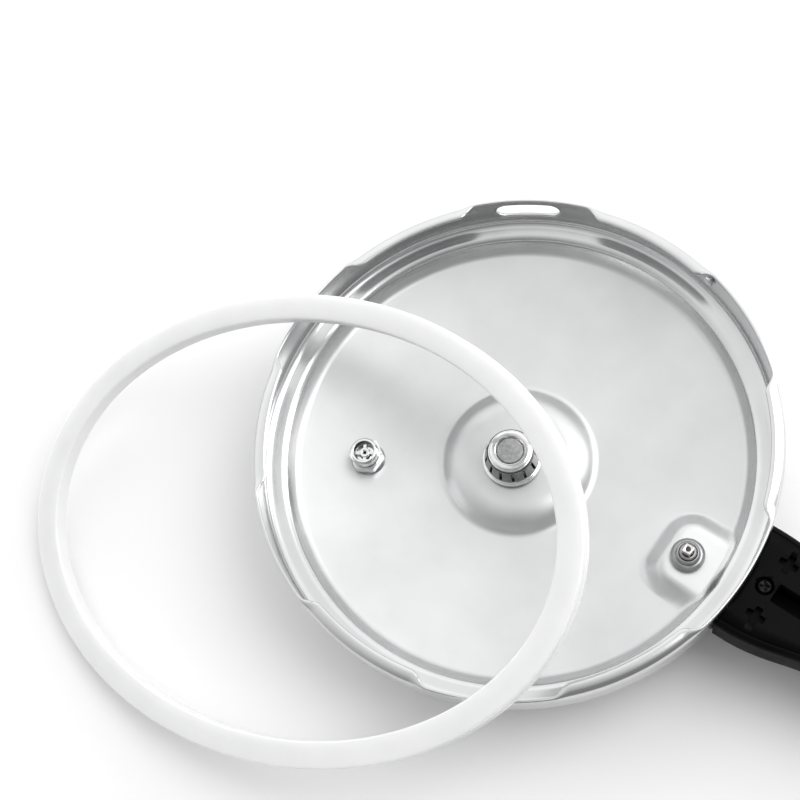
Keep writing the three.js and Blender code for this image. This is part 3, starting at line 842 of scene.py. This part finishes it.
def safety_spring():
    """Drawn at its free length, which a real spring loses as the plunger is pushed towards the cap; nothing
    here shortens it.
    """
    low, high = box_mm("safety_valve_spring")
    length = high.z - low.z
    spring = coil_mesh("safety_coil", 3.3, 0.45, length, 4, GREY)
    fit(move_mesh(spring, (SAFETY.x, SAFETY.y, low.z)), "lid", "grey_steel", "safety_valve_spring")
    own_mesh(spring)


# ---------- pressure indicator ----------

def indicator_collar():
    """The round stepped collar on the raised pad."""
    low, high = box_mm("indicator_nut")
    collar = turned_bmesh([
        (4.2, low.z), (7.7, low.z), (7.7, low.z + 0.5), (7.3, low.z + 0.8), (7.7, low.z + 1.1),
        (7.7, low.z + 2.2), (6.5, low.z + 3.5), (5.5, low.z + 3.7), (5.4, low.z + 4.5),
        (5.1, low.z + 4.7), (5.4, low.z + 4.9), (5.4, high.z - 0.8), (4.7, high.z), (4.2, high.z),
        (4.2, low.z),
    ], 0.35, 96, closed=True)
    piece = finish_mesh("indicator_collar", place(collar, INDICATOR), GREY)
    return fit(piece, "lid", "grey_steel", "indicator_nut")


def indicator_sleeve():
    """The bush that the pin slides in."""
    low, high = box_mm("indicator_bush")
    bush = turned_bmesh([
        (2.6, low.z), (8, low.z), (8, low.z + 2.5), (3.9, low.z + 2.5), (3.9, high.z - 0.6),
        (3.3, high.z), (2.6, high.z), (2.6, low.z),
    ], 0.3, 80, closed=True)
    piece = finish_mesh("indicator_sleeve", place(bush, INDICATOR), GREY)
    return fit(piece, "lid", "grey_steel", "indicator_bush")


def indicator_pin():
    """The pin, with a square tip and a dark red dot let into its end."""
    low, high = box_mm("indicator_pin")
    top = high.z
    stem = turned_bmesh([
        (0, low.z), (4.6, low.z), (4.6, low.z + 2), (2.2, low.z + 2), (2.2, top - 3), (0, top - 3),
    ], 0.3, 48)
    pin = finish_mesh("indicator_stem", place(stem, INDICATOR), POLISHED)
    fit(pin, "indicator", "polished_steel", "indicator_pin")
    half = 2.1
    square = box_bmesh((-half, -half, top - 3.7), (half, half, top))
    tip = finish_mesh("indicator_tip", place(square, INDICATOR), POLISHED)
    pit = place(rod(1.1, top - 0.6, top + 1, 32, 0.05), INDICATOR)
    soften(cut(tip, pit), 0.35)
    fit(tip, "indicator", "polished_steel")
    dot = turned_bmesh([(0, top - 0.8), (1.05, top - 0.8), (1.05, top - 0.45), (0, top - 0.35)], 0.1, 32)
    fit(finish_mesh("indicator_dot", place(dot, INDICATOR), RED), "indicator", "rubber")


# ---------- handle ----------

def smooth_line(points, count=12):
    """A Catmull-Rom line through the points, as arrays of x and value."""
    padded = [points[0], *points, points[-1]]
    line = []
    for a, b, c, d in zip(padded, padded[1:], padded[2:], padded[3:]):
        a, b, c, d = map(Vector, (a, b, c, d))
        for k in range(count):
            t = k / count
            square = (2 * a - 5 * b + 4 * c - d) * t * t
            cube = (3 * b - a - 3 * c + d) * t ** 3
            line.append(0.5 * (2 * b + (c - a) * t + square + cube))
    line.append(Vector(points[-1]))
    return np.array([p.x for p in line]), np.array([p.y for p in line])


# Half the handle's width, and the heights of its lines, along X.
PLAN = smooth_line([
    (78, 25), (100, 25.4), (126, 26), (142, 24), (165, 18.5), (200, 15.5), (245, 17), (284, 16.5),
    (295, 12.5), (299, 6), (HANDLE_END, 1),
])
BASE_TOP = smooth_line([
    (110, FACE_Z), (150, FACE_Z), (205, 43.0), (262, 35.8), (290, 29.2), (HANDLE_END, 26),
])
SEAM = smooth_line([(78, 26), (255, 26), (270, 24.8), (HANDLE_END + 2, 19)])
COVER_LOW = smooth_line([
    (78, 9.5), (82, 8), (205, 8), (235, 4.2), (262, 0.3), (268, 0.02), (290, 0.02), (HANDLE_END, 4.5),
])
COVER_LOW = (COVER_LOW[0], np.maximum(COVER_LOW[1], 0.02))


def height_at(line, x):
    return float(np.interp(x, *line))


def section(half, low, high, low_round, high_round, arc=8, flats=7):
    """A rounded rectangle in Y and Z, going round from the lower right corner."""
    low_round = min(low_round, half * 0.9, (high - low) * 0.45)
    high_round = min(high_round, half * 0.9, (high - low) * 0.45)
    corners = [
        (1, low, low_round, -90), (1, high, high_round, 0),
        (-1, high, high_round, 90), (-1, low, low_round, 180),
    ]
    points = []
    for side, level, radius, start in corners:
        middle_y = side * (half - radius)
        middle_z = level + (radius if level == low else -radius)
        for k in range(arc + 1):
            angle = math.radians(start + 90 * k / arc)
            points.append((middle_y + radius * math.cos(angle), middle_z + radius * math.sin(angle)))
        if start in (0, 180):
            y0 = points[-1][0]
            for k in range(1, flats + 1):
                points.append((y0 * (1 - 2 * k / (flats + 1)), level))
    return points


def handle_shell(name, start, lower, upper, low_round, high_round, tuck):
    """A handle half: rounded sections along X between two height lines."""
    stations = np.concatenate([np.linspace(start, 284, 90), np.linspace(285, HANDLE_END, 22)])
    rows = []
    for x in stations:
        half = height_at(PLAN, x) - tuck * (1 - smoothstep(x, 250, HANDLE_END))
        low, high = height_at(lower, x), height_at(upper, x)
        rows.append([(x, y, z) for y, z in section(half, low, high, low_round, high_round)])
    bm = grid_mesh(rows, close_rows=False, cap_ends=True)
    return finish_mesh(name, bm, BLACK, sharp=38)


def cross_outline(x, y, arm, half):
    """A plus sign with slightly rounded arms."""
    one_arm = ((half, half), (arm - 0.5, half), (arm, half - 0.5), (arm, -half + 0.5), (arm - 0.5, -half))
    outline = []
    for k in range(4):
        turn = Matrix.Rotation(k * math.pi / 2, 2)
        for point in one_arm:
            spot = turn @ Vector(point)
            outline.append((x + spot.x, y + spot.y))
    return sorted(outline, key=lambda p: math.atan2(p[1] - y, p[0] - x))


def edge_ledge(side):
    """Cuts a fine line along one edge of the handle's upper face."""
    rows = []
    for x in np.linspace(119, 290, 60):
        y = side * (height_at(PLAN, x) - 3.4)
        wide = y + side * 0.7
        z = height_at(BASE_TOP, x)
        rows.append([(x, y, z - 0.6), (x, wide, z - 0.6), (x, wide, z + 4), (x, y, z + 4)])
    return grid_mesh(rows, close_rows=False, cap_ends=True)


def screw_seat(x, low, radius):
    return place(rod(radius, low, RIM_Z, 40), (x, 0, 0))


def handle_base(screws):
    """The half with the groove, the two crosses and the screw heads. It meets the skirt."""
    seam = (SEAM[0], SEAM[1] + SEAM_GAP)
    base = handle_shell("handle_grip_lower", 112.0, seam, BASE_TOP, 0.5, 3.2, 0.0)
    groove_floor = box_mm("lock_bar")[0].z - 1.2
    tools = [prism_bmesh(slot_outline(134.5, 216, 4.6, 1.2), groove_floor, RIM_Z)]
    for side in (-1, 1):
        tools.append(prism_bmesh(cross_outline(133, 13.5 * side, 4.4, 1.6), FACE_Z - 3, RIM_Z))
    for name in screws:
        x, head = foot_of(name).x, box_mm(name)[1].z - 3.0
        tools.append(screw_seat(x, head, SCREW_SEAT_R))
        tools.append(screw_seat(x, 0, SCREW_HOLE_R))
    tools += [edge_ledge(-1), edge_ledge(1)]
    post_slot = box_bmesh((171, -3.4, 0), (187, 3.4, RIM_Z - 14))
    cut(base, *tools, post_slot)
    soften(base, 0.3, 2, 50)
    move_mesh(base, (0, HANDLE_Y, 0))
    cut(base, rod(SKIRT_R + SKIRT_GAP, 0, RIM_Z + 2, 360))
    return fit(base, "lid", "phenolic", "handle_base")


def handle_cover(screws):
    """The outer half, hollowed where the lid and the indicator's bush stand."""
    seam = (SEAM[0], SEAM[1] - SEAM_GAP)
    cover = handle_shell("handle_grip_upper", 78.5, COVER_LOW, seam, 7.0, 0.5, COVER_TUCK)
    post_slot = prism_bmesh(slot_outline(171, 187, 3.4, 1.0), -1, RIM_Z)
    holes = [screw_seat(foot_of(name).x, 12, SCREW_HOLE_R) for name in screws]
    move_mesh(cut(cover, post_slot, *holes), (0, HANDLE_Y, 0))
    under = offset_profile(lid_profile(), SHEET + 0.45)
    keep_out = [(0, under[0].y), *[(p.x, p.y) for p in under], (SKIRT_R + 0.5, RIM_Z + 5), (0, RIM_Z + 5)]
    pocket = place(rod(9.6, 12.5, RIM_Z, 48), INDICATOR)
    cut(cover, turned_bmesh(keep_out, 0.01, 240), pocket)
    return fit(cover, "lid", "phenolic", "handle_cover")


def handle_screw(node):
    """A cross-head screw, dark with oxide."""
    low, high = box_mm(node)
    x, head = foot_of(node).x, high.z - 2.7
    profile = [
        (0, low.z), (1.2, low.z), (1.8, low.z + 1.5), (1.8, head), (3.6, head), (3.6, head + 1.3),
        (2.6, head + 2.4), (0, high.z),
    ]
    screw = finish_mesh(node + "_head", place(turned_bmesh(profile, 0.3, 64), (x, 0, 0)), OXIDE_AND_SHADE_BLACK)
    for turn in (0.5, 0.5 + math.pi / 2):
        bm = box_bmesh((-2.3, -0.42, head + 1.3), (2.3, 0.42, head + 4))
        cut(screw, place(bm, (x, 0, 0), turn))
    move_mesh(screw, (0, HANDLE_Y, 0))
    return fit(screw, "lid", "grey_steel", node)


def handle():
    screws = ("handle_screw_front", "handle_screw_rear")
    handle_base(screws)
    handle_cover(screws)
    for name in screws:
        handle_screw(name)


# ---------- lock ----------

def lock_bar():
    """The sliding strip in the handle's groove, with a tooth at its front end."""
    low, high = box_mm("lock_bar")
    strip = box_bmesh((low.x, -LOCK_HALF, low.z), (high.x, LOCK_HALF, low.z + 3))
    # The strip is painted black as shade, so the handle's groove stays dark.
    bar = finish_mesh("lock_strip", strip, OXIDE_AND_SHADE_BLACK)
    cut(bar, prism_bmesh(slot_outline(165, 171, 1.2, 1.1), 0, RIM_Z))
    soften(move_mesh(bar, (0, HANDLE_Y, 0)), 0.35)
    fit(bar, "lock", "brushed_steel", "lock_bar")
    block = box_bmesh((low.x, -LOCK_HALF, low.z + 2.9), (low.x + 5, LOCK_HALF, high.z))
    # The tooth is painted black as shade too.
    tooth = finish_mesh("lock_tooth", block, OXIDE_AND_SHADE_BLACK)
    soften(move_mesh(tooth, (0, HANDLE_Y, 0)), 0.8)
    fit(tooth, "lock", "brushed_steel")


def lock_button():
    """The ribbed thumb pad under the handle and the post that joins it to the bar."""
    low, high = box_mm("lock_button")
    outline = slot_outline(low.x, high.x, 7.5, 7.4)
    button = finish_mesh("lock_thumb_pad", prism_bmesh(outline, low.z, low.z + 4.6), BLACK)
    ribs = (167, 170.5, 174, 177.5, 181, 184.5)
    grips = [box_bmesh((x - 0.8, -6, low.z - 1), (x + 0.8, 6, low.z + 0.8)) for x in ribs]
    cut(button, *grips)
    soften(move_mesh(button, (0, HANDLE_Y, 0)), 0.45)
    fit(button, "lock", "phenolic", "lock_button")
    post = finish_mesh("lock_post", box_bmesh((172, -2.9, low.z + 4.4), (180, 2.9, high.z)), BLACK)
    soften(move_mesh(post, (0, HANDLE_Y, 0)), 0.5)
    fit(post, "lock", "phenolic")


def coil_mesh(name, radius, wire, length, turns, material):
    """A closed coil of round wire along +Z."""
    rows = []
    count = turns * 28
    around_wire = 10
    for j in range(count + 1):
        t = j / count
        angle = 2 * math.pi * turns * t
        rise = wire + (length - 2 * wire) * t
        outward = Vector((math.cos(angle), math.sin(angle), 0))
        ring = []
        for k in range(around_wire):
            around = 2 * math.pi * k / around_wire
            up = Vector((0, 0, rise + wire * math.sin(around)))
            ring.append(outward * (radius + wire * math.cos(around)) + up)
        rows.append(ring)
    return finish_mesh(name, grid_mesh(rows, close_rows=False, cap_ends=True), material)


def lock_spring():
    """Drawn at its free length, which a real spring loses as the lock is pulled back; nothing here shortens
    it.
    """
    low, high = box_mm("lock_spring")
    start = box_mm("lock_bar")[1].x + 0.3
    length = high.x - start
    height = (low.z + high.z) / 2
    spring = coil_mesh("lock_coil", 2.9, 0.5, length, 7, GREY)
    along_x = Matrix.Rotation(math.pi / 2, 4, "Y")
    spring.data.transform(Matrix.Translation(Vector((start, HANDLE_Y, height)) * MM) @ along_x)
    fit(spring, "lid", "grey_steel", "lock_spring")
    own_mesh(spring)


# ---------- sealing ring ----------

def sealing_ring():
    """The soft ring: an oval band whose two lips face out, leaning on the rim and nearly on the table."""
    matrix = Matrix.Translation(RING_CENTRE)
    matrix = matrix @ Matrix.Rotation(RING_LEAN_AXIS, 4, "Z") @ Matrix.Rotation(RING_LEAN, 4, "X")
    matrix = matrix @ Matrix.Rotation(RING_TURN, 4, "Z")
    wide, high = RING_WIDE, RING_HIGH
    outline = [
        (-wide, 0), (-wide, -high), (wide, -high), (wide, -1.6), (wide - 2.2, -0.8), (wide - 2.2, 0.8),
        (wide, 1.6), (wide, high), (-wide, high), (-wide, 0),
    ]
    line = rounded(outline, 1.1, 6)[:-1]
    steps = 288
    rows = []
    for j in range(steps):
        t = 2 * math.pi * j / steps
        row = []
        for out, up in line:
            x, y = (RING_LONG_HALF + out) * math.cos(t), (RING_SHORT_HALF + out) * math.sin(t)
            row.append(matrix @ Vector((x, y, up)))
        rows.append(row)
    ring = finish_mesh("gasket", grid_mesh(rows), SILICONE, sharp=60)
    return fit(ring, "ring", "silicone", "sealing_ring")


# ---------- CAD nodes that stay, with a finer finish ----------

def dress_frame_nodes():
    finishes = {
        "vent_pipe": POLISHED, "vent_washer": RUBBER, "regulator_needle": POLISHED,
        "safety_valve_plunger": RUBBER, "indicator_seal": RUBBER, "handle_bracket": SHEET_STEEL,
    }
    for name, material in finishes.items():
        node = frame["nodes"][name]
        node.data.materials.clear()
        node.data.materials.append(material)


# ---------- floor, light and camera ----------

def floor_material():
    material, shader = new_material("floor", (0.93, 0.93, 0.93), 0.6, 0.0)
    tones(material, shader, noise(material, 6, 3.0), (0.945, 0.945, 0.945), (0.965, 0.965, 0.965))
    return material


def stage():
    """A pale table top, a hair below the object."""
    reach, below = 3.0, 0.0002
    bm = bmesh.new()
    bmesh.ops.create_grid(bm, x_segments=8, y_segments=8, size=reach / MM)
    floor = finish_mesh("floor", bm, floor_material())
    floor.location.z = -below


def area_light(name, place_at, aim, size, power):
    """A round lamp; places and sizes in metres, power in watts."""
    light = bpy.data.lights.new(name, "AREA")
    light.shape = "DISK"
    light.size = size
    light.energy = power
    lamp = link(bpy.data.objects.new(name, light))
    lamp.location = place_at
    lamp.rotation_euler = (Vector(aim) - Vector(place_at)).to_track_quat("-Z", "Y").to_euler()
    return lamp


def world():
    """A pale studio that is dimmer on the side of the handle."""
    scene_world = bpy.data.worlds.new("studio")
    bpy.context.scene.world = scene_world
    scene_world.use_nodes = True
    nodes, links = scene_world.node_tree.nodes, scene_world.node_tree.links
    background = nodes["Background"]
    coordinates = nodes.new("ShaderNodeTexCoord")
    side = nodes.new("ShaderNodeVectorMath")
    side.operation = "DOT_PRODUCT"
    side.inputs[1].default_value = Vector((-0.75, 0.65, -0.1)).normalized()
    ramp = nodes.new("ShaderNodeMapRange")
    ramp.inputs["From Min"].default_value = -0.75
    ramp.inputs["From Max"].default_value = 0.6
    ramp.inputs["To Min"].default_value = 0.27
    ramp.inputs["To Max"].default_value = 1.36
    links.new(coordinates.outputs["Generated"], side.inputs[0])
    links.new(side.outputs["Value"], ramp.inputs["Value"])
    links.new(ramp.outputs["Result"], background.inputs["Strength"])
    background.inputs["Color"].default_value = (1, 1, 1, 1)


def camera():
    """Looks down at the lid from beside the handle, rolled as a hand-held view is."""
    aim = Vector((-0.05326, -0.01421, RIM_Z * MM))
    azimuth, elevation, roll = math.radians(-30.89), math.radians(66.55), math.radians(-24.58)
    distance = 0.65503
    level = math.cos(elevation)
    back = Vector((math.cos(azimuth) * level, math.sin(azimuth) * level, math.sin(elevation)))
    right = Vector((-math.sin(azimuth), math.cos(azimuth), 0))
    up = back.cross(right)
    turned_right = right * math.cos(roll) + up * math.sin(roll)
    turned_up = back.cross(turned_right)
    data = bpy.data.cameras.new("camera")
    data.lens = 63.0
    data.sensor_width = 36.0
    data.clip_start = 0.01
    eye = link(bpy.data.objects.new("camera", data))
    basis = Matrix((turned_right, turned_up, back)).transposed().to_4x4()
    eye.matrix_world = Matrix.Translation(aim + back * distance) @ basis
    bpy.context.scene.camera = eye


bpy.context.scene.view_settings.view_transform = "Standard"
camera()
stage()
world()
area_light("key", (0.7, 0.75, 1.6), (0, 0, 0.03), 1.4, 14)
area_light("low", (0.9, 1.3, 0.55), (0, 0, 0.03), 0.9, 7)
lid()
stop_rivet()
cage()
strainer()
vent_nut()
regulator_cap()
regulator_weight()
safety_nut()
safety_seat()
safety_inlet()
safety_cap()
safety_body()
safety_spring()
indicator_collar()
indicator_sleeve()
indicator_pin()
handle()
lock_bar()
lock_button()
lock_spring()
sealing_ring()
dress_frame_nodes()
